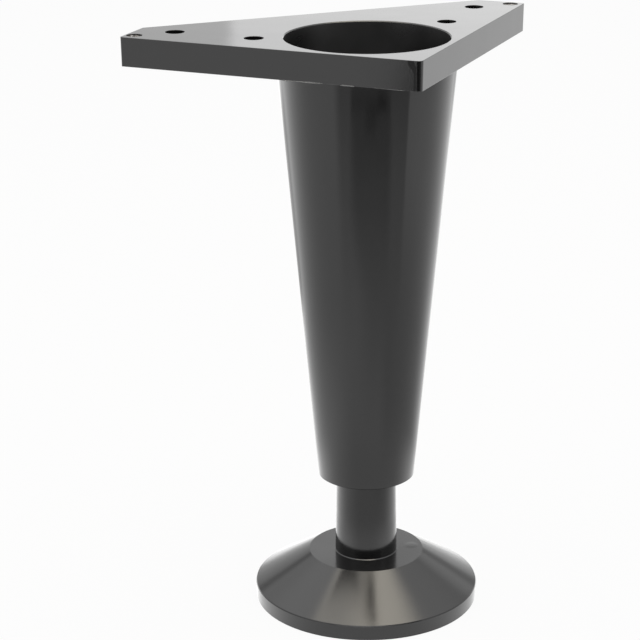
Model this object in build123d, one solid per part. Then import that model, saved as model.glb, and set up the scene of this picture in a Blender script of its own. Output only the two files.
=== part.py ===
from build123d import *
import os
from math import atan2, cos, radians, tan

# Furniture leg: a hollow conical leg moulded in one with its corner plate,
# standing on a foot that screws in and out of the tube to level the furniture.
# The leg's axis is Z and the floor is z = 0. The plate's right-angle corner
# points to -Y and its long edge lies along X. Every size is in millimetres.

# Leg
overall_height = 200.0
mouth_radius = 27.5
tube_wall = 3.1
tube_end_radius = 16.65
tube_end_bevel = 0.2
mouth_bevel = 0.3

# Corner plate, measured along its two equal sides from the right-angle corner
plate_side = 105.6
plate_end_width = 16.9
plate_thickness = 9.8
plate_draft_deg = 1.0
axis_to_side = 30.0
corner_round = 1.75
end_round = 0.8

# Underside of the plate
plate_skin = 3.0
plate_rim = 2.8
plate_rib = 1.8
screw_boss_radius = 5.6
least_pocket_area = 25.0

# Screw holes and the round gate recesses beside the two far ends
screw_hole_radius = 3.3
hole_to_side = 14.3
near_hole_along = 63.7
far_hole_along = 92.4
gate_radius = 2.7
gate_depth = 1.0
gate_to_side = 4.2
gate_to_end = 3.3

# Foot disc
foot_radius = 39.05
foot_rim_height = 5.3
foot_rim_draft_deg = 2.7
foot_seat_radius = 20.0
foot_seat_height = 16.9
foot_wall = 2.8
foot_rib = 1.8
foot_rib_count = 8
foot_rib_lift = 1.2
foot_rim_bevel = 0.25

# Neck of the foot, which slides in the tube
neck_base_radius = 10.85
neck_draft_deg = 1.0
neck_shown = 29.1
neck_held = 14.0
neck_wall = 3.0
neck_solid = 30.0
neck_base_bevel = 0.25
neck_top_bevel = 0.8
neck_clearance = 0.3

# Guide ribs in the lower end of the tube
guide_rib = 1.6
guide_rib_count = 8
guide_rib_setback = 1.0

# Threaded stud and nut, M10: the plain radii are the thread's mean radius
thread_mean_radius = 4.5
thread_clearance = 0.05
stud_in_neck = 24.0
stud_tip = 2.0
stud_chamfer = 0.8
nut_flats = 17.0
nut_height = 8.0
nut_pocket_clearance = 0.05
nut_pocket_wall = 2.4
nut_clear_below = 0.5

# Web that carries the nut
web_thickness = 4.0
web_hole_radius = 5.6

# Height adjustment from the modelled position
travel_up = 25.0
travel_down = 5.0
travel_spare = 1.5

# Heights that follow from the sizes above
tube_end_height = foot_seat_height + neck_shown
neck_top_height = tube_end_height + neck_held
nut_under_height = neck_top_height + travel_up + travel_spare
web_under_height = nut_under_height + nut_height
web_top_height = web_under_height + web_thickness
plate_under_height = overall_height - plate_thickness
stud_top_height = web_top_height + travel_down + stud_tip
stud_foot_height = neck_top_height - stud_in_neck

# Radii that follow from the sizes above
mouth_outer_radius = mouth_radius + tube_wall
tube_slope = (mouth_outer_radius - tube_end_radius) / (overall_height - tube_end_height)
nut_corner_radius = nut_flats / 2 / cos(radians(30))
pocket_corner_radius = (nut_flats / 2 + nut_pocket_clearance) / cos(radians(30))
pocket_outer_radius = pocket_corner_radius + nut_pocket_wall

# Length by which a cutting core runs past the face that it opens
past = 1.0


def tube_outer_radius(height):
    """Outside radius of the tube's cone at a height above the floor."""
    return tube_end_radius + tube_slope * (height - tube_end_height)


def tube_inner_radius(height):
    """Inside radius of the tube at a height above the floor."""
    return tube_outer_radius(height) - tube_wall


def neck_radius(height):
    """Outside radius of the foot's drafted neck at a height above the floor."""
    return neck_base_radius - tan(radians(neck_draft_deg)) * (height - foot_seat_height)


def turned(profile):
    """Solid turned about the leg's axis from a profile drawn as radius and height."""
    return revolve(Plane.XZ * profile, Axis.Z)


def outline(*points):
    """Flat face inside a closed outline of straight lines."""
    return make_face(Polyline(*points, close=True))


def rounded(face, point, radius):
    """The face with its corner nearest to a point rounded."""
    corner = face.vertices().sort_by_distance((point[0], point[1], 0))[0]
    return fillet(corner, radius)


def bevelled(face, point, length):
    """The face with its corner nearest to a point cut off."""
    corner = face.vertices().sort_by_distance((point[0], point[1], 0))[0]
    return chamfer(corner, length)


def on_plate(shape):
    """A shape drawn from the plate's right-angle corner, moved to its place about the axis."""
    return Rot(0, 0, 45) * Pos(-axis_to_side, -axis_to_side) * shape


def both_sides(along, across):
    """The two mirrored places at a distance along and across the plate's equal sides."""
    return [(along, across), (across, along)]


# Corner plate
def plate_outline():
    """Right-angled plate with its two sharp ends cut square to the equal sides."""
    face = outline(
        (0, 0),
        (plate_side, 0),
        (plate_side, plate_end_width),
        (plate_end_width, plate_side),
        (0, plate_side),
    )
    face = rounded(face, (0, 0), corner_round)
    for end in both_sides(plate_side, 0):
        face = rounded(face, end, end_round)
    return face


def plate_slab():
    """The plate before it is cored, drafted so that it narrows towards its underside."""
    slab = extrude(plate_outline(), amount=-plate_thickness, taper=plate_draft_deg)
    return Pos(0, 0, overall_height) * on_plate(slab)


def screw_places():
    """Centres of the four screw holes, from the right-angle corner."""
    return both_sides(near_hole_along, hole_to_side) + both_sides(far_hole_along, hole_to_side)


def plate_pockets():
    """The core under the plate: what is left open between its rim, ribs and screw bosses."""
    open_area = offset(plate_outline(), amount=-plate_rim, kind=Kind.INTERSECTION)
    rib_places = [
        hole_to_side,
        axis_to_side,
        (axis_to_side + near_hole_along) / 2,
        near_hole_along,
        (near_hole_along + far_hole_along) / 2,
        far_hole_along,
    ]
    for place in rib_places:
        open_area -= Pos(place, plate_side / 2) * Rectangle(plate_rib, plate_side)
        open_area -= Pos(plate_side / 2, place) * Rectangle(plate_side, plate_rib)
    for place in screw_places():
        open_area -= Pos(*place) * Circle(screw_boss_radius)
    open_area -= Pos(axis_to_side, axis_to_side) * Circle(mouth_outer_radius)
    depth = plate_thickness - plate_skin
    pockets = Part()
    for face in open_area.faces():
        if face.area > least_pocket_area:
            pockets += extrude(face, amount=depth + past, dir=(0, 0, 1))
    return Pos(0, 0, plate_under_height - past) * on_plate(pockets)


def plate_holes():
    """Screw holes right through the plate, and the shallow gate recesses in its top."""
    holes = Part()
    length = plate_thickness + 2 * past
    for place in screw_places():
        holes += Pos(*place, -plate_thickness / 2) * Cylinder(screw_hole_radius, length)
    for place in both_sides(plate_side - gate_to_end, gate_to_side):
        holes += Pos(*place, 0) * Cylinder(gate_radius, 2 * gate_depth)
    return Pos(0, 0, overall_height) * on_plate(holes)


# Conical tube
def tube_cone():
    """Outer form of the tube. Inside the plate it goes straight up, within the plate's sides."""
    profile = outline(
        (0, tube_end_height),
        (tube_end_radius, tube_end_height),
        (tube_outer_radius(plate_under_height), plate_under_height),
        (tube_outer_radius(plate_under_height), overall_height - past),
        (0, overall_height - past),
    )
    return turned(bevelled(profile, (tube_end_radius, tube_end_height), tube_end_bevel))


def upper_core():
    """Hollow of the tube above the web, open at the plate's top face."""
    return turned(
        outline(
            (0, web_top_height),
            (tube_inner_radius(web_top_height), web_top_height),
            (tube_inner_radius(overall_height - mouth_bevel), overall_height - mouth_bevel),
            (mouth_radius + mouth_bevel, overall_height),
            (mouth_radius + mouth_bevel, overall_height + past),
            (0, overall_height + past),
        )
    )


def guide_ribs():
    """Ribs that stand in from the tube's wall and steady the foot's neck."""
    height = web_under_height - tube_end_height - guide_rib_setback
    reach = tube_outer_radius(web_under_height)
    rib = Pos(reach / 2, 0, web_under_height - height / 2) * Box(reach, guide_rib, height)
    return PolarLocations(0, guide_rib_count) * rib


def neck_passage():
    """Room that the neck needs between the ribs when the foot is screwed right in."""
    low_height = tube_end_height - past
    high_height = nut_under_height - nut_clear_below
    low_radius = neck_radius(low_height - travel_up) + neck_clearance
    high_radius = neck_radius(high_height - travel_up) + neck_clearance
    return turned(
        outline(
            (0, low_height),
            (low_radius, low_height),
            (high_radius, high_height),
            (0, high_height),
        )
    )


def nut_pocket():
    """Six-sided pocket under the web, open downwards, so that load presses the nut home."""
    height = nut_height + nut_clear_below
    hexagon = RegularPolygon(pocket_corner_radius, 6)
    return Pos(0, 0, web_under_height - height) * extrude(hexagon, amount=height)


def lower_core():
    """Hollow of the tube below the web, less its guide ribs and the wall of the nut pocket."""
    core = turned(
        outline(
            (0, tube_end_height - past),
            (tube_inner_radius(tube_end_height - past), tube_end_height - past),
            (tube_inner_radius(web_under_height), web_under_height),
            (0, web_under_height),
        )
    )
    wall_height = nut_height + nut_clear_below
    pocket_wall = Cylinder(pocket_outer_radius, wall_height)
    core -= Pos(0, 0, web_under_height - wall_height / 2) * pocket_wall
    core -= guide_ribs()
    return core + neck_passage() + nut_pocket()


def leg_body():
    """The leg as moulded: plate, tube, web, nut pocket and guide ribs in one piece."""
    cone = tube_cone()
    body = plate_slab() - plate_pockets() + cone
    body -= upper_core()
    body -= lower_core()
    web_middle = web_top_height - web_thickness / 2
    body -= Pos(0, 0, web_middle) * Cylinder(web_hole_radius, web_thickness + 2 * past)
    return body - plate_holes()


# Nut and stud
def captive_nut():
    """Steel hexagon nut, pressed up into its pocket against the web."""
    nut = extrude(RegularPolygon(nut_corner_radius, 6), amount=nut_height)
    bore_radius = thread_mean_radius + thread_clearance
    nut -= Pos(0, 0, nut_height / 2) * Cylinder(bore_radius, nut_height + 2 * past)
    return Pos(0, 0, nut_under_height) * nut


def threaded_stud():
    """Steel stud from inside the neck, through the nut and the web."""
    length = stud_top_height - stud_foot_height
    stud = Cylinder(thread_mean_radius, length)
    stud = chamfer(stud.edges().sort_by(Axis.Z)[-1], stud_chamfer)
    return Pos(0, 0, stud_foot_height + length / 2) * stud


# Foot
def foot_outside():
    """Outer form of the foot: rim, conical disc, flat seat and drafted neck."""
    rim_base_radius = foot_radius - tan(radians(foot_rim_draft_deg)) * foot_rim_height
    profile = outline(
        (0, 0),
        (rim_base_radius, 0),
        (foot_radius, foot_rim_height),
        (foot_seat_radius, foot_seat_height),
        (neck_base_radius, foot_seat_height),
        (neck_radius(neck_top_height), neck_top_height),
        (0, neck_top_height),
    )
    profile = bevelled(profile, (foot_radius, foot_rim_height), foot_rim_bevel)
    profile = bevelled(profile, (neck_base_radius, foot_seat_height), neck_base_bevel)
    profile = bevelled(profile, (neck_radius(neck_top_height), neck_top_height), neck_top_bevel)
    return turned(profile)


def disc_core():
    """Ring-shaped hollow under the disc, at an even wall, less its radial ribs."""
    slope = atan2(foot_seat_height - foot_rim_height, foot_radius - foot_seat_radius)
    drop = foot_wall / cos(slope)
    roof_height = foot_seat_height - foot_wall
    outer_radius = foot_radius - foot_wall
    outer_height = foot_rim_height + (foot_radius - outer_radius) * tan(slope) - drop
    roof_radius = outer_radius - (roof_height - outer_height) / tan(slope)
    hub_radius = neck_base_radius
    rim_inner_radius = outer_radius - tan(radians(foot_rim_draft_deg)) * outer_height
    ring = turned(
        outline(
            (hub_radius, -past),
            (rim_inner_radius, -past),
            (outer_radius, outer_height),
            (roof_radius, roof_height),
            (hub_radius, roof_height),
        )
    )
    rib_height = roof_height - foot_rib_lift + past
    rib = Pos(foot_radius / 2, 0, foot_rib_lift + rib_height / 2)
    rib *= Box(foot_radius, foot_rib, rib_height)
    return ring - PolarLocations(0, foot_rib_count) * rib


def neck_core():
    """Round hollow up the neck from below, and the lift of the hub above the floor."""
    roof_height = neck_top_height - neck_solid
    radius = neck_radius(roof_height) - neck_wall
    bore = Pos(0, 0, (roof_height - past) / 2) * Cylinder(radius, roof_height + past)
    lift = Pos(0, 0, (foot_rib_lift - past) / 2)
    lift *= Cylinder(neck_base_radius, foot_rib_lift + past)
    return bore + lift


def adjusting_foot():
    """Foot disc and neck moulded in one, hollow underneath, with a hole for the stud."""
    foot = foot_outside() - disc_core() - neck_core()
    bore_radius = thread_mean_radius + thread_clearance
    depth = stud_in_neck + past
    stud_hole = Pos(0, 0, stud_foot_height + depth / 2) * Cylinder(bore_radius, depth)
    return foot - stud_hole


parts = {
    "leg_body": leg_body,
    "captive_nut": captive_nut,
    "threaded_stud": threaded_stud,
    "adjusting_foot": adjusting_foot,
}

os.makedirs("parts", exist_ok=True)
for name, make in parts.items():
    export_step(make(), f"parts/{name}.step")
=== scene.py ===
from math import cos, pi, radians, sin, tau

import bmesh
import bpy
from mathutils import Matrix, Vector, noise


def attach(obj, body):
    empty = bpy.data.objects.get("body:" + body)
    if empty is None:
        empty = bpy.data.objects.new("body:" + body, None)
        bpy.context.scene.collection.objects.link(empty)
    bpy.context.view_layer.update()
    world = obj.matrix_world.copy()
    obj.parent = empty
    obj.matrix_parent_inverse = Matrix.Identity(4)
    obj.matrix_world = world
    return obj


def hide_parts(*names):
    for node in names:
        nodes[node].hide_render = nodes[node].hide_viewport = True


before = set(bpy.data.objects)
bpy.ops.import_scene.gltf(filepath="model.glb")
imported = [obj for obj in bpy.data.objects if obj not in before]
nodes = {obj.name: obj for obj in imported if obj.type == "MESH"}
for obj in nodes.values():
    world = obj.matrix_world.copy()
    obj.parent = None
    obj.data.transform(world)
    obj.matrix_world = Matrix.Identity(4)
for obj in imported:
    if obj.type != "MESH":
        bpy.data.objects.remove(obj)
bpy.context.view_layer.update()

scene = bpy.context.scene
scene.view_settings.view_transform = "Standard"

# Sizes and places on the leg that the added pieces and the materials repeat, in metres
NUT_UNDER = 0.0865
NUT_HEIGHT = 0.008
NUT_FLATS = 0.017
NUT_BORE_RADIUS = 0.00502
NUT_BORE_CHAMFER = 0.0004
STUD_LOW = 0.036
STUD_HIGH = 0.1055
NECK_TOP = 0.060
STUD_PLAIN_RADIUS = 0.0045
THREAD_CREST = 0.00495
THREAD_ROOT = 0.00408
THREAD_PITCH = 0.0015
GATE_X = 0.06937
GATE_Y = 0.03288
GATE_FLOOR = 0.199
GATE_RADIUS = 0.00262
PLATE_UNDER = 0.1902
PLATE_CORNER_Y = -0.04243
GLINT_BEAD_INSET = 0.00017
EDGE_ROUNDING = 0.00025
SEAT_MARK = (0.0155, -0.0045, 0.0169)

# Plain ratios: the plate's sides run at 45 degrees, the nut's chamfers at 30 degrees, and the
# slant is the length down the foot's cone for each length outwards
DIAGONAL = 0.70711
ALONG_SIDE = 1.414
NUT_CHAMFER_SLOPE = 0.577
CONE_SLANT = 1.17


# Helpers for materials
class Shader:
    """A node material being built, with short calls for the nodes it uses."""

    def __init__(self, owner):
        self.owner = owner
        owner.use_nodes = True
        self.tree = owner.node_tree
        self.tree.nodes.clear()

    def node(self, kind, **settings):
        made = self.tree.nodes.new(kind)
        for key, value in settings.items():
            setattr(made, key, value)
        return made

    def link(self, output, socket):
        self.tree.links.new(output, socket)

    def put(self, socket, value):
        """Links a socket to an output, or sets it to a plain value."""
        if isinstance(value, bpy.types.NodeSocket):
            self.link(value, socket)
        else:
            socket.default_value = value

    def maths(self, operation, *values, clamp=False):
        made = self.node("ShaderNodeMath", operation=operation, use_clamp=clamp)
        for socket, value in zip(made.inputs, values):
            self.put(socket, value)
        return made.outputs[0]

    def place(self):
        return self.node("ShaderNodeTexCoord").outputs["Object"]

    def split(self, vector):
        """The vector's three numbers."""
        made = self.node("ShaderNodeSeparateXYZ")
        self.link(vector, made.inputs[0])
        return made.outputs[:3]

    def scaled(self, vector, scale):
        made = self.node("ShaderNodeMapping")
        self.put(made.inputs["Vector"], vector)
        made.inputs["Scale"].default_value = scale
        return made.outputs[0]

    def noise(self, vector, scale, detail, rough):
        made = self.node("ShaderNodeTexNoise")
        self.put(made.inputs["Vector"], vector)
        made.inputs["Scale"].default_value = scale
        made.inputs["Detail"].default_value = detail
        made.inputs["Roughness"].default_value = rough
        return made.outputs["Fac"]

    def ramp(self, value, low, high, start=0.0, end=1.0):
        """Value taken from low..high to start..end, clamped."""
        made = self.node("ShaderNodeMapRange", clamp=True)
        self.put(made.inputs["Value"], value)
        made.inputs["From Min"].default_value = low
        made.inputs["From Max"].default_value = high
        made.inputs["To Min"].default_value = start
        made.inputs["To Max"].default_value = end
        return made.outputs["Result"]

    def smooth(self, value, low, high, start=0.0, end=1.0):
        """As ramp, but with soft ends. low may be the higher of the two."""
        if low > high:
            low, high, start, end = high, low, end, start
        made = self.node("ShaderNodeMapRange", interpolation_type="SMOOTHSTEP")
        self.put(made.inputs["Value"], value)
        made.inputs["From Min"].default_value = low
        made.inputs["From Max"].default_value = high
        made.inputs["To Min"].default_value = start
        made.inputs["To Max"].default_value = end
        return made.outputs["Result"]

    def mix_value(self, factor, first, second):
        made = self.node("ShaderNodeMix", data_type="FLOAT")
        self.put(made.inputs[0], factor)
        self.put(made.inputs[2], first)
        self.put(made.inputs[3], second)
        return made.outputs[0]

    def mix_colour(self, factor, first, second):
        made = self.node("ShaderNodeMix", data_type="RGBA")
        self.put(made.inputs[0], factor)
        self.put(made.inputs[6], first)
        self.put(made.inputs[7], second)
        return made.outputs[2]

    def bump(self, height, strength, distance, normal=None):
        made = self.node("ShaderNodeBump")
        self.put(made.inputs["Height"], height)
        made.inputs["Strength"].default_value = strength
        made.inputs["Distance"].default_value = distance
        if normal is not None:
            self.link(normal, made.inputs["Normal"])
        return made.outputs["Normal"]

    def glow(self, colour, strength):
        made = self.node("ShaderNodeEmission")
        made.inputs["Color"].default_value = (*colour, 1)
        self.put(made.inputs["Strength"], strength)
        return made.outputs[0]

    def mix_shader(self, factor, first, second):
        made = self.node("ShaderNodeMixShader")
        self.put(made.inputs[0], factor)
        self.link(first, made.inputs[1])
        self.link(second, made.inputs[2])
        return made.outputs[0]

    def finish(self, shader, kind="ShaderNodeOutputMaterial"):
        out = self.node(kind)
        self.link(shader, out.inputs["Surface"])
        return self.owner


def new_shader(name):
    return Shader(bpy.data.materials.new(name))


def product(s, *values):
    """All the values multiplied together."""
    result = values[0]
    for value in values[1:]:
        result = s.maths("MULTIPLY", result, value)
    return result


def facing_axis(s, place):
    """1 on walls that face the leg's axis, such as the tube's inside, else 0."""
    outward = s.node("ShaderNodeVectorMath", operation="MULTIPLY")
    s.link(place, outward.inputs[0])
    outward.inputs[1].default_value = (1, 1, 0)
    unit = s.node("ShaderNodeVectorMath", operation="NORMALIZE")
    s.link(outward.outputs[0], unit.inputs[0])
    facing = s.node("ShaderNodeVectorMath", operation="DOT_PRODUCT")
    s.link(unit.outputs[0], facing.inputs[0])
    s.link(s.node("ShaderNodeNewGeometry").outputs["Normal"], facing.inputs[1])
    return s.smooth(facing.outputs["Value"], -0.90, -0.96)


def facing_up(s):
    """How far the face itself looks up: 1 where it is level, 0 where it is upright."""
    return s.split(s.node("ShaderNodeNewGeometry").outputs["True Normal"])[2]


def plastic_roughness(s, place, low, high, duller_below):
    """Wide clouds between low and high with fine handling marks, duller down the tube and dull
    inside its mouth."""
    clouds = s.ramp(s.noise(place, 45.0, 4.0, 0.6), 0.3, 0.7, low, high)
    upright = s.scaled(place, (1.0, 1.0, 0.25))
    marks = s.ramp(s.noise(upright, 900.0, 2.0, 0.6), 0.45, 0.75, 0.0, 0.02)
    lower = s.smooth(s.split(place)[2], 0.180, 0.130, 0.0, duller_below)
    outside = s.maths("ADD", s.maths("ADD", clouds, marks), lower)
    inside = s.ramp(s.noise(place, 32.0, 3.0, 0.55), 0.3, 0.7, 0.27, 0.41)
    return s.mix_value(facing_axis(s, place), outside, inside)


def softened_edges(s, place):
    """Normal that rounds the plate's edges slightly and stays plain lower down."""
    rounded = s.node("ShaderNodeBevel", samples=6)
    rounded.inputs["Radius"].default_value = EDGE_ROUNDING
    either = s.node("ShaderNodeMix", data_type="VECTOR")
    s.put(either.inputs[0], s.ramp(s.split(place)[2], 0.180, 0.185))
    s.link(s.node("ShaderNodeNewGeometry").outputs["Normal"], either.inputs[4])
    s.link(rounded.outputs[0], either.inputs[5])
    return either.outputs[1]


def sunk_wedge(s, place, depth):
    """Height of the plate's left side, sunk by depth in a wedge beside its corner. The wedge
    widens upwards and ends in a slope."""
    across, back, up = s.split(place)
    from_corner = s.maths("MULTIPLY", across, -ALONG_SIDE)
    reach = s.smooth(up, 0.1955, 0.1995, 0.0025, 0.0047)
    sunk = s.maths("DIVIDE", s.maths("SUBTRACT", reach, from_corner), 0.0022, clamp=True)
    on_left_side = product(
        s,
        s.maths("LESS_THAN", across, -0.0012),
        s.maths("LESS_THAN", back, -0.034),
        s.maths("LESS_THAN", facing_up(s), 0.3),
    )
    return product(s, sunk, on_left_side, -depth)


def leaning_cone(s, place, lean):
    """Height that leans the shading of the foot's cone outwards by that angle."""
    upwards = facing_up(s)
    on_cone = s.maths("MULTIPLY", s.smooth(upwards, 0.80, 0.83), s.smooth(upwards, 0.92, 0.88))
    outwards = s.node("ShaderNodeVectorMath", operation="LENGTH")
    s.link(s.scaled(place, (1, 1, 0)), outwards.inputs[0])
    return product(s, outwards.outputs["Value"], on_cone, -CONE_SLANT * lean)


def seat_mark(s, place):
    """1 in the middle of the shallow mark on the foot's seat, falling to 0 around it."""
    from_mark = s.node("ShaderNodeVectorMath", operation="DISTANCE")
    s.link(place, from_mark.inputs[0])
    from_mark.inputs[1].default_value = SEAT_MARK
    return s.smooth(from_mark.outputs["Value"], 0.0030, 0.0008)


def black_plastic(
    name, ior, rough_low, rough_high, duller_below=0.0, wavy=0.14, cone_lean=0.0, sunk_corner=0.0
):
    """Deep black moulded plastic with a gloss, faint flow shading and fine handling marks.
    duller_below is the roughness that it gains from the plate down the tube. cone_lean leans the
    shading of the foot's cone. sunk_corner is the depth of the sunk wedge on the plate's side."""
    s = new_shader(name)
    place = s.place()
    bsdf = s.node("ShaderNodeBsdfPrincipled")
    cloud = s.noise(place, 28.0, 3.0, 0.55)
    s.put(
        bsdf.inputs["Base Color"],
        s.mix_colour(cloud, (0.0085, 0.0085, 0.0088, 1), (0.0115, 0.0114, 0.0114, 1)),
    )
    bsdf.inputs["IOR"].default_value = ior
    rough = plastic_roughness(s, place, rough_low, rough_high, duller_below)
    s.put(bsdf.inputs["Roughness"], rough)
    waves = s.noise(place, 55.0, 1.0, 0.4)
    normal = s.bump(waves, wavy, 0.0004, softened_edges(s, place))
    grain = s.noise(place, 2200.0, 2.0, 0.5)
    normal = s.bump(grain, 0.06, 0.0001, normal)
    if sunk_corner:
        normal = s.bump(sunk_wedge(s, place, sunk_corner), 1.0, 1.0, normal)
    if cone_lean:
        normal = s.bump(leaning_cone(s, place, cone_lean), 1.0, 1.0, normal)
        normal = s.bump(seat_mark(s, place), 1.0, 0.00003, normal)
    s.link(normal, bsdf.inputs["Normal"])
    return s.finish(bsdf.outputs[0])


def zinc_steel(name):
    """Bright zinc-plated steel, slightly mottled, with fine turning marks round the axis."""
    s = new_shader(name)
    place = s.place()
    bsdf = s.node("ShaderNodeBsdfPrincipled")
    cloud = s.noise(place, 220.0, 4.0, 0.6)
    s.put(
        bsdf.inputs["Base Color"],
        s.mix_colour(cloud, (0.50, 0.51, 0.52, 1), (0.66, 0.66, 0.63, 1)),
    )
    bsdf.inputs["Metallic"].default_value = 1.0
    s.put(bsdf.inputs["Roughness"], s.ramp(cloud, 0.3, 0.7, 0.24, 0.36))
    turned = s.noise(s.scaled(place, (1.0, 1.0, 30.0)), 160.0, 3.0, 0.6)
    s.put(bsdf.inputs["Normal"], s.bump(turned, 0.15, 0.00005))
    return s.finish(bsdf.outputs[0])


def torn_and_glint_material(name, dark, pale):
    """Dull plastic with pale flecks: torn plastic at the gates, pale where it was strained, and the pale
    grey that paints the glints along the plate's lower edge.
    """
    s = new_shader(name)
    place = s.place()
    bsdf = s.node("ShaderNodeBsdfPrincipled")
    flecks = s.ramp(s.noise(place, 1400.0, 3.0, 0.7), 0.48, 0.64)
    s.put(bsdf.inputs["Base Color"], s.mix_colour(flecks, dark, pale))
    bsdf.inputs["Roughness"].default_value = 0.55
    return s.finish(bsdf.outputs[0])


# Helpers for meshes
def new_object(name, mesh_data):
    made = bpy.data.objects.new(name, mesh_data)
    scene.collection.objects.link(made)
    return made


def from_bmesh(name, bm, smooth=True):
    mesh_data = bpy.data.meshes.new(name)
    bmesh.ops.recalc_face_normals(bm, faces=bm.faces)
    bm.to_mesh(mesh_data)
    bm.free()
    for face in mesh_data.polygons:
        face.use_smooth = smooth
    return new_object(name, mesh_data)


def threaded_bar(name):
    """Steel bar, plain where it is moulded into the neck, with a rolled thread above it. The
    thread's profile is given as shares of its pitch, with the radius at each."""
    bm = bmesh.new()
    around = 40
    profile = [
        (0.06, THREAD_ROOT),
        (0.19, THREAD_ROOT),
        (0.44, THREAD_CREST),
        (0.56, THREAD_CREST),
        (0.81, THREAD_ROOT),
        (0.94, THREAD_ROOT),
    ]
    end_cut = 0.0004
    rows = (int((STUD_HIGH - STUD_LOW) / THREAD_PITCH) + 2) * len(profile)
    rings = []
    for step in range(around + 1):
        share = step / around
        ring = []
        for row in range(rows):
            turn, index = divmod(row, len(profile))
            at, radius = profile[index]
            z = STUD_LOW + (turn - 1 + at + share) * THREAD_PITCH
            z = min(max(z, STUD_LOW), STUD_HIGH)
            if z < NECK_TOP:
                radius = STUD_PLAIN_RADIUS
            radius = min(radius, THREAD_ROOT - end_cut + min(z - STUD_LOW, STUD_HIGH - z))
            ring.append(bm.verts.new((radius * cos(tau * share), radius * sin(tau * share), z)))
        rings.append(ring)
    low_middle = bm.verts.new((0, 0, STUD_LOW))
    high_middle = bm.verts.new((0, 0, STUD_HIGH))
    for first, second in zip(rings, rings[1:]):
        for row in range(rows - 1):
            bm.faces.new((first[row], second[row], second[row + 1], first[row + 1]))
        bm.faces.new((second[0], first[0], low_middle))
        bm.faces.new((first[-1], second[-1], high_middle))
    bmesh.ops.remove_doubles(bm, verts=bm.verts, dist=1e-7)
    made = from_bmesh(name, bm)
    made.data.set_sharp_from_angle(angle=radians(25))
    return made


def chamfered_nut(name):
    """Hexagon nut with both faces turned off at 30 degrees."""
    bm = bmesh.new()
    around = 72
    face_radius = NUT_FLATS / 2 * 0.96
    low, high = NUT_UNDER, NUT_UNDER + NUT_HEIGHT
    rings = []
    for step in range(around):
        angle = tau * step / around
        outer = NUT_FLATS / 2 / cos(angle % (pi / 3) - pi / 6)
        cut = (outer - face_radius) * NUT_CHAMFER_SLOPE
        loop = [
            (NUT_BORE_RADIUS + NUT_BORE_CHAMFER, low),
            (face_radius, low),
            (outer, low + cut),
            (outer, high - cut),
            (face_radius, high),
            (NUT_BORE_RADIUS + NUT_BORE_CHAMFER, high),
            (NUT_BORE_RADIUS, high - NUT_BORE_CHAMFER),
            (NUT_BORE_RADIUS, low + NUT_BORE_CHAMFER),
        ]
        east, north = cos(angle + pi / 6), sin(angle + pi / 6)
        rings.append([bm.verts.new((radius * east, radius * north, z)) for radius, z in loop])
    for first, second in zip(rings, rings[1:] + rings[:1]):
        for index in range(len(first)):
            after = (index + 1) % len(first)
            bm.faces.new((first[index], second[index], second[after], first[after]))
    made = from_bmesh(name, bm)
    made.data.set_sharp_from_angle(angle=radians(25))
    return made


def torn_gate(name, x, least, rise, closeness):
    """Broken-off gate that fills its recess in the plate's top unevenly. It stands least above
    the recess's floor and up to rise more. closeness is how near its bumps are to each other."""
    bm = bmesh.new()
    around, steps = 36, 9
    directions = [(cos(tau * k / around), sin(tau * k / around)) for k in range(around)]
    base = [
        bm.verts.new((x + GATE_RADIUS * east, GATE_Y + GATE_RADIUS * north, GATE_FLOOR))
        for east, north in directions
    ]
    rings = [base]
    for step in range(steps, 0, -1):
        reach = GATE_RADIUS * step / steps
        ring = []
        for east, north in directions:
            bumpy = noise.fractal(Vector((reach * east, reach * north, x)) * closeness, 0.6, 2.0, 4)
            height = least + rise * max(0.0, min(1.0, 0.35 + bumpy))
            ring.append(bm.verts.new((x + reach * east, GATE_Y + reach * north, GATE_FLOOR + height)))
        rings.append(ring)
    for first, second in zip(rings, rings[1:]):
        for k in range(around):
            after = (k + 1) % around
            bm.faces.new((first[k], first[after], second[after], second[k]))
    bm.faces.new(rings[-1])
    bm.faces.new(base)
    made = from_bmesh(name, bm, smooth=False)
    made.data.materials.append(torn_plastic)
    return made


def painted_glint_bead(name, start, end, thickest):
    """Thin uneven bead along the plate's lower left edge, from one distance from its corner to
    another, with tapered ends. Its pale grey paints the glints that the edge shows."""
    bm = bmesh.new()
    around, steps = 8, 60
    outward, upward = Vector((-DIAGONAL, -DIAGONAL, 0.0)), Vector((0.0, 0.0, 1.0))
    circle = [
        outward * cos(tau * k / around) + upward * sin(tau * k / around) for k in range(around)
    ]
    rings = []
    for step in range(steps + 1):
        share = step / steps
        along = start + (end - start) * share
        uneven = 0.75 + 0.9 * noise.noise(Vector((along * 170.0, 0.0, 3.7)))
        radius = thickest * max(0.15, uneven) * min(1.0, 8 * share + 0.1, 8 * (1 - share) + 0.1)
        left = (along - GLINT_BEAD_INSET) * DIAGONAL
        back = PLATE_CORNER_Y + (along + GLINT_BEAD_INSET) * DIAGONAL
        middle = Vector((-left, back, PLATE_UNDER))
        rings.append([bm.verts.new(middle + spoke * radius) for spoke in circle])
    for first, second in zip(rings, rings[1:]):
        for k in range(around):
            after = (k + 1) % around
            bm.faces.new((first[k], first[after], second[after], second[k]))
    bm.faces.new(rings[0])
    bm.faces.new(rings[-1])
    made = from_bmesh(name, bm)
    made.data.materials.append(painted_glint_plastic)
    return made


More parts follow.
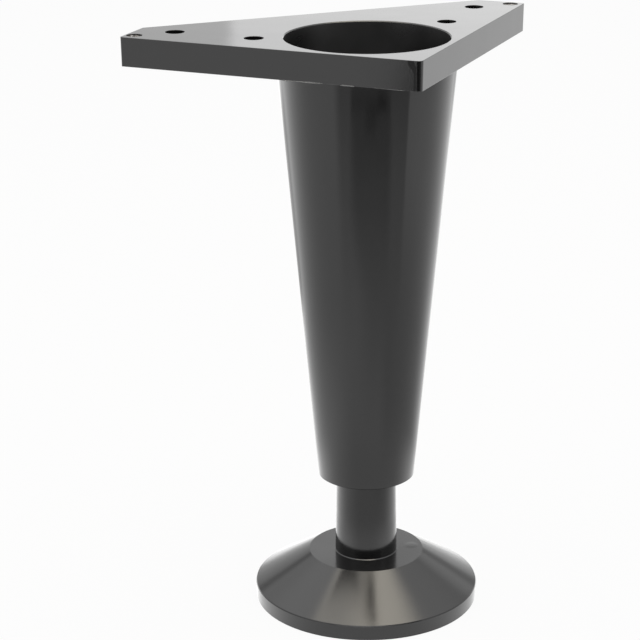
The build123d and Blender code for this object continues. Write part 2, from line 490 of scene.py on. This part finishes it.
# Materials on the frame's own pieces
leg_plastic = black_plastic("leg_black_plastic", 1.58, 0.04, 0.07, duller_below=0.07, sunk_corner=0.00022)
foot_plastic = black_plastic("foot_black_plastic", 1.53, 0.135, 0.165, wavy=0.2, cone_lean=radians(0.3))
steel = zinc_steel("zinc_plated_steel")
torn_plastic = torn_and_glint_material("torn_plastic", (0.050, 0.045, 0.041, 1), (0.46, 0.45, 0.44, 1))
# Pale grey for the beads on the plate's lower edge: a painted glint
painted_glint_plastic = torn_and_glint_material("painted_glint_plastic", (0.16, 0.16, 0.16, 1), (0.24, 0.24, 0.24, 1))
for node, plastic in (("leg_body", leg_plastic), ("adjusting_foot", foot_plastic)):
    for material_slot in nodes[node].material_slots:
        material_slot.material = plastic
for node in ("captive_nut", "threaded_stud"):
    for material_slot in nodes[node].material_slots:
        material_slot.material = steel


# Pieces that stand for the plain stud and nut, the torn gates on the plate, and beads on its lower edge
# whose pale grey paints glints
thread = threaded_bar("stud_with_thread")
thread.data.materials.append(steel)
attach(thread, "stud")
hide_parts("threaded_stud")
nut = chamfered_nut("nut_with_chamfers")
nut.data.materials.append(steel)
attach(nut, "leg")
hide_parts("captive_nut")
gates_and_glint_beads = [
    torn_gate("torn_gate_left", -GATE_X, 0.00005, 0.00075, 700.0),
    torn_gate("torn_gate_right", GATE_X, 0.00055, 0.00012, 500.0),
    # The beads' pale grey is a painted glint along the plate's lower edge
    painted_glint_bead("painted_glint_far", 0.033, 0.048, 0.00022),
    painted_glint_bead("painted_glint_middle", 0.0225, 0.0275, 0.00026),
    painted_glint_bead("painted_glint_near", 0.005, 0.017, 0.00008),
]
for added_piece in gates_and_glint_beads:
    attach(added_piece, "leg")


# Camera at the photograph's viewpoint
CAMERA_AZIMUTH = -23.6
CAMERA_DISTANCE = 0.71102
CAMERA_HEIGHT = 0.34289
CAMERA_YAW = -0.0224
CAMERA_PITCH = 0.3267
CAMERA_ROLL = -0.0051
camera_data = bpy.data.cameras.new("camera")
camera_data.sensor_width = 36.0
camera_data.lens = 123.41
camera_data.clip_start = 0.01
camera_data.clip_end = 50.0
camera = new_object("camera", camera_data)
heading = radians(CAMERA_AZIMUTH)
camera.matrix_world = (
    Matrix.Translation((CAMERA_DISTANCE * sin(heading), -CAMERA_DISTANCE * cos(heading), CAMERA_HEIGHT))
    @ Matrix.Rotation(heading - CAMERA_YAW, 4, "Z")
    @ Matrix.Rotation(radians(90) - CAMERA_PITCH, 4, "X")
    @ Matrix.Rotation(CAMERA_ROLL, 4, "Z")
)
scene.camera = camera


# Studio: places are given from the leg, as the camera sees it: to its right, beyond the leg and up.
# The floor, a curved room wall, the backdrop and the ceiling are what the leg reflects, and the
# numbers in their functions are places in metres, bearings in degrees and levels, where 1 is white.
to_studio = Matrix.Rotation(heading, 4, "Z")
FLOOR_REACH = 4.0
ROOM_DISTANCE = 2.2
ROOM_HEIGHT = 3.0
ROOM_LEFT_BEARING = -60
ROOM_RIGHT_BEARING = 80
BACKDROP_DISTANCE = 1.6
BACKDROP_REACH = 1.4
BACKDROP_HEIGHT = 1.3
BACKDROP_EDGE = -0.145
CEILING_HEIGHT = 1.4
CEILING_REACH = 3.2
CEILING_NEAR_REACH = 1.6
SOFTBOX_LEVEL = 2.2
SURROUNDING_LEVEL = 0.45
PLAIN = (1.0, 1.0, 1.0)
WARM = (1.0, 0.91, 0.74)


def studio_point(right, back, up):
    """Point in the leg's own frame for a place in the studio."""
    return to_studio @ Vector((right, back, up))


def surface(name, corners, material):
    """Stage surface of flat faces in a row, each sharing two corners with the next."""
    bm = bmesh.new()
    for corner in corners:
        bm.verts.new(corner)
    bm.verts.ensure_lookup_table()
    for index in range(0, len(corners) - 2, 2):
        bm.faces.new([bm.verts[index + k] for k in (0, 1, 3, 2)])
    made = from_bmesh(name, bm)
    made.matrix_world = to_studio
    made.data.materials.append(material)
    return made


def background_share(s):
    """1 for rays from the camera, from glossy reflection and through glass, else 0."""
    path = s.node("ShaderNodeLightPath")
    either = s.maths("MAXIMUM", path.outputs["Is Camera Ray"], path.outputs["Is Glossy Ray"])
    return s.maths("MAXIMUM", either, path.outputs["Is Transmission Ray"])


def bearing(s, right, back):
    """Direction seen from the leg in degrees: 0 towards the camera, growing to its right."""
    return s.maths("DEGREES", s.maths("ARCTAN2", right, s.maths("MULTIPLY", back, -1.0)))


def between(s, value, low, low_full, high_full, high):
    """1 between the two inner values, falling softly to 0 at the outer ones."""
    return s.maths("MULTIPLY", s.smooth(value, low, low_full), s.smooth(value, high, high_full))


def from_axis(s, right, back):
    """Distance from the leg's axis on a level surface."""
    squares = [s.maths("MULTIPLY", value, value) for value in (right, back)]
    return s.maths("SQRT", s.maths("ADD", *squares))


def darkened(s, level, darkness):
    """The level with the stated share of it taken away."""
    return s.maths("MULTIPLY", level, s.maths("SUBTRACT", 1.0, darkness))


def dark_room(s, angle, away):
    """Share of light missing on the camera's side: a dark middle with half-dark flanks, which all
    get stronger and sharper with the distance from the leg. Nearly half a metre away lies a
    darker blob with a darker core, which leans to the right as it goes away."""
    sharper = s.smooth(away, 0.50, 0.60)
    left_start = s.mix_value(sharper, s.smooth(away, 0.22, 0.33, -28, -40), -28)
    left_width = s.mix_value(sharper, s.smooth(away, 0.22, 0.33, 44, 28), 10)
    right_end = s.mix_value(sharper, s.smooth(away, 0.22, 0.33, 56, 50), 37)
    right_width = s.mix_value(sharper, s.smooth(away, 0.22, 0.33, 38, 24), 10)
    from_left = s.smooth(s.maths("DIVIDE", s.maths("SUBTRACT", angle, left_start), left_width), 0, 1)
    from_right = s.smooth(s.maths("DIVIDE", s.maths("SUBTRACT", right_end, angle), right_width), 0, 1)
    strength = s.maths("ADD", s.ramp(away, 0.12, 0.40, 0.0, 0.62), s.ramp(away, 0.50, 0.65, 0.0, 0.35))
    middle = product(s, from_left, from_right, strength)
    left_share = s.maths("ADD", s.ramp(away, 0.20, 0.46, 0.0, 0.42), s.smooth(away, 0.46, 0.70, 0.0, 0.26))
    left_edge = s.mix_value(sharper, s.smooth(angle, -46, -33), s.smooth(angle, -40.4, -38.6))
    left_flank = product(s, left_edge, s.smooth(angle, 10, 0), left_share)
    right_share = s.maths("ADD", s.ramp(away, 0.21, 0.46, 0.0, 0.50), s.smooth(away, 0.46, 0.70, 0.0, 0.30))
    right_flank = product(s, between(s, angle, -10, 0, 54, 58), right_share)
    far = s.smooth(away, 0.50, 0.47)
    blob = product(s, between(s, angle, -28, -18, 28, 38), s.smooth(away, 0.431, 0.442), far, 0.75)
    core_angle = s.maths("SUBTRACT", angle, s.ramp(away, 0.434, 0.448, -6, 9))
    core = product(s, between(s, core_angle, -12, 8, 14, 28), s.smooth(away, 0.408, 0.430), far, 0.88)
    result = middle
    for other in (left_flank, right_flank, blob, core):
        result = s.maths("MAXIMUM", result, other)
    return result


def floor_level(s, right, back):
    """Painted brightness of the floor in reflections: painted light behind the leg, for the backdrop's
    light on it, and close round the foot, and painted shade on the room's dark side and in a few soft
    painted shadows."""
    away = from_axis(s, right, back)
    angle = bearing(s, right, back)
    side = s.maths("ABSOLUTE", angle)
    behind = s.smooth(back, -0.10, 0.55, 1.0, 1.62)
    close = between(s, away, 0.07, 0.08, 0.10, 0.14)
    on_left = s.maths("MULTIPLY", s.smooth(angle, -20, -75), s.smooth(angle, -180, -150))
    painted_lights = [
        product(s, s.smooth(away, 0.5, 0.7), s.smooth(angle, -30, -38), 0.12),
        product(s, s.smooth(away, 0.25, 0.11), on_left, 0.34),
        product(s, close, s.smooth(side, 60, 110), 0.60),
        s.maths("MULTIPLY", s.smooth(away, 0.09, 0.06), s.smooth(side, 20, 60, 0.48, 0.80)),
    ]
    level = behind
    for extra in painted_lights:
        level = s.maths("ADD", level, extra)
    near_right = between(s, away, 0.09, 0.15, 0.22, 0.42)
    far_left = between(s, away, 0.27, 0.33, 0.6, 0.8)
    painted_shades = [
        dark_room(s, angle, away),
        product(s, close, s.smooth(side, 70, 40), 0.04),
        product(s, s.smooth(away, 0.25, 0.42), s.smooth(angle, 70, 110), 0.14),
        product(s, between(s, angle, 20, 45, 105, 140), near_right, 0.22),
        product(s, s.smooth(angle, -136, -150), s.smooth(angle, -180, -168), far_left, 0.5),
        product(s, s.smooth(angle, 146, 156), s.smooth(away, 0.5, 0.8), 0.36),
    ]
    for shade in painted_shades:
        level = darkened(s, level, shade)
    return level


def floor_material():
    """Pale paper that shows white and keeps a soft part of the leg's shadow; in reflections it glows with
    painted light and shade.
    """
    s = new_shader("floor_paper")
    place = s.place()
    paper = s.node("ShaderNodeBsdfDiffuse")
    grain = s.noise(place, 400.0, 2.0, 0.5)
    s.put(paper.inputs["Color"], s.mix_colour(grain, (0.80, 0.80, 0.80, 1), (0.82, 0.82, 0.82, 1)))
    right, back, _ = s.split(place)
    reflected = s.node("ShaderNodeLightPath").outputs["Is Glossy Ray"]
    # In reflections the floor glows at floor_level, a painted pattern of light and shade
    glow = s.glow(PLAIN, s.mix_value(reflected, 1.0, floor_level(s, right, back)))
    by_the_foot = s.smooth(from_axis(s, right, back), 0.08, 0.16, 0.8, 1.0)
    shown = s.mix_value(reflected, 0.94, by_the_foot)
    share = s.maths("MULTIPLY", background_share(s), shown)
    return s.finish(s.mix_shader(share, paper.outputs[0], glow))


def glowing(name, level_of):
    """Material that glows at the level worked out from its place in the studio."""
    s = new_shader(name)
    return s.finish(s.glow(PLAIN, level_of(s, *s.split(s.place()))))


def room_level(s, right, back, up):
    """The dark room behind the camera, white again at its sides and lit at its top."""
    dark = darkened(s, 1.05, dark_room(s, bearing(s, right, back), 1.0))
    return s.mix_value(s.smooth(up, 1.15, 1.30), dark, 4.5)


def backdrop_level(s, right, back, up):
    """Lit backdrop behind the leg: dimmer left of an edge, high in its middle, in a wedge on the
    left and towards its right end, and a little brighter in its top left corner."""
    edge = s.smooth(right, BACKDROP_EDGE - 0.006, BACKDROP_EDGE + 0.006, 0.0, 0.50)
    slope = s.ramp(right, BACKDROP_EDGE - 0.20, BACKDROP_EDGE + 0.45, 0.97, 1.31)
    high_middle = product(s, between(s, right, -0.62, -0.42, 0.42, 0.62), s.smooth(up, 0.60, 0.85))
    high_level = s.maths(
        "ADD",
        s.smooth(right, -0.02, 0.04, 0.62, 0.32),
        s.smooth(right, 0.038, 0.050, 0.0, 0.16),
    )
    high = s.mix_value(high_middle, 1.0, high_level)
    top_left = s.maths("MULTIPLY", s.smooth(right, -0.75, -1.05), s.smooth(up, 0.85, 1.10, 0.0, 0.28))
    level = s.maths("MULTIPLY", s.maths("ADD", edge, slope), high)
    level = s.maths("ADD", level, top_left)
    wedge = product(s, s.smooth(right, -0.72, -0.92), between(s, up, 0.66, 0.70, 0.80, 1.05), 0.45)
    fall = s.maths("MULTIPLY", s.smooth(up, 0.10, 0.40), s.smooth(up, 0.50, 0.75, 0.68, 0.30))
    right_end = s.maths("MULTIPLY", s.smooth(right, 0.50, 0.68), fall)
    right_low = product(s, s.smooth(right, 0.25, 0.50), s.smooth(up, 0.45, 0.25), 0.38)
    return darkened(s, level, s.maths("MAXIMUM", s.maths("MAXIMUM", wedge, right_low), right_end))


def ceiling_material():
    """Pale ceiling, brighter on the left, with one warm softbox: it has a sharp left edge, is
    brightest right of its middle and falls off softly to the right."""
    s = new_shader("ceiling")
    right, back, _ = s.split(s.place())
    fading = s.smooth(from_axis(s, right, back), 2.4, 0.9, 0.62, 1.0)
    pale = s.maths("MULTIPLY", s.smooth(right, 0.2, 0.9, 2.1, 1.62), fading)
    rising = s.smooth(right, -0.40, 0.16, 1.75, 4.0)
    falling = product(
        s,
        s.smooth(right, -0.67, -0.62),
        s.smooth(right, 0.76, 0.42),
        s.ramp(right, 0.16, 0.50, 1.0, 0.85),
    )
    softbox_level = product(s, rising, falling, between(s, back, -0.75, -0.62, 0.66, 0.80))
    both = s.node("ShaderNodeAddShader")
    s.link(s.glow(PLAIN, pale), both.inputs[0])
    s.link(s.glow(WARM, softbox_level), both.inputs[1])
    return s.finish(both.outputs[0])


def only_reflected(made):
    """Seen in reflections only."""
    made.visible_camera = False
    made.visible_diffuse = False
    made.visible_shadow = False
    made.visible_transmission = False
    made.visible_volume_scatter = False


surface(
    "floor",
    [
        (right, back, 0.0)
        for right in (-FLOOR_REACH, FLOOR_REACH)
        for back in (-FLOOR_REACH, FLOOR_REACH)
    ],
    floor_material(),
)
room = surface(
    "room",
    [
        (ROOM_DISTANCE * sin(radians(degree)), -ROOM_DISTANCE * cos(radians(degree)), up)
        for degree in range(ROOM_LEFT_BEARING, ROOM_RIGHT_BEARING + 1, 5)
        for up in (0.0, ROOM_HEIGHT)
    ],
    glowing("room", room_level),
)
only_reflected(room)
backdrop = surface(
    "backdrop",
    [
        (right, BACKDROP_DISTANCE, up)
        for right in (-BACKDROP_REACH, BACKDROP_REACH)
        for up in (0.0, BACKDROP_HEIGHT)
    ],
    glowing("backdrop", backdrop_level),
)
only_reflected(backdrop)
ceiling = surface(
    "ceiling",
    [
        (right, back, CEILING_HEIGHT)
        for right in (-CEILING_REACH, CEILING_REACH)
        for back in (-CEILING_NEAR_REACH, CEILING_REACH)
    ],
    ceiling_material(),
)
only_reflected(ceiling)


# One plain softbox lights the leg; its reflection is the ceiling's
box_light = bpy.data.lights.new("softbox", "AREA")
box_light.shape = "RECTANGLE"
box_light.size = 1.3
box_light.size_y = 1.2
box_light.energy = SOFTBOX_LEVEL * pi * box_light.size * box_light.size_y
box_light.color = (1.0, 0.97, 0.93)
softbox = new_object("softbox", box_light)
softbox.matrix_world = Matrix.Translation(studio_point(0.0, 0.05, CEILING_HEIGHT - 0.02)) @ to_studio
softbox.visible_glossy = False


def studio_world():
    """Plain even light, which the camera and reflections see as white."""
    s = Shader(bpy.data.worlds.new("studio"))
    levels = []
    for strength in (SURROUNDING_LEVEL, 1.0):
        level = s.node("ShaderNodeBackground")
        level.inputs["Color"].default_value = (1, 1, 1, 1)
        level.inputs["Strength"].default_value = strength
        levels.append(level.outputs[0])
    return s.finish(s.mix_shader(background_share(s), *levels), "ShaderNodeOutputWorld")


scene.world = studio_world()
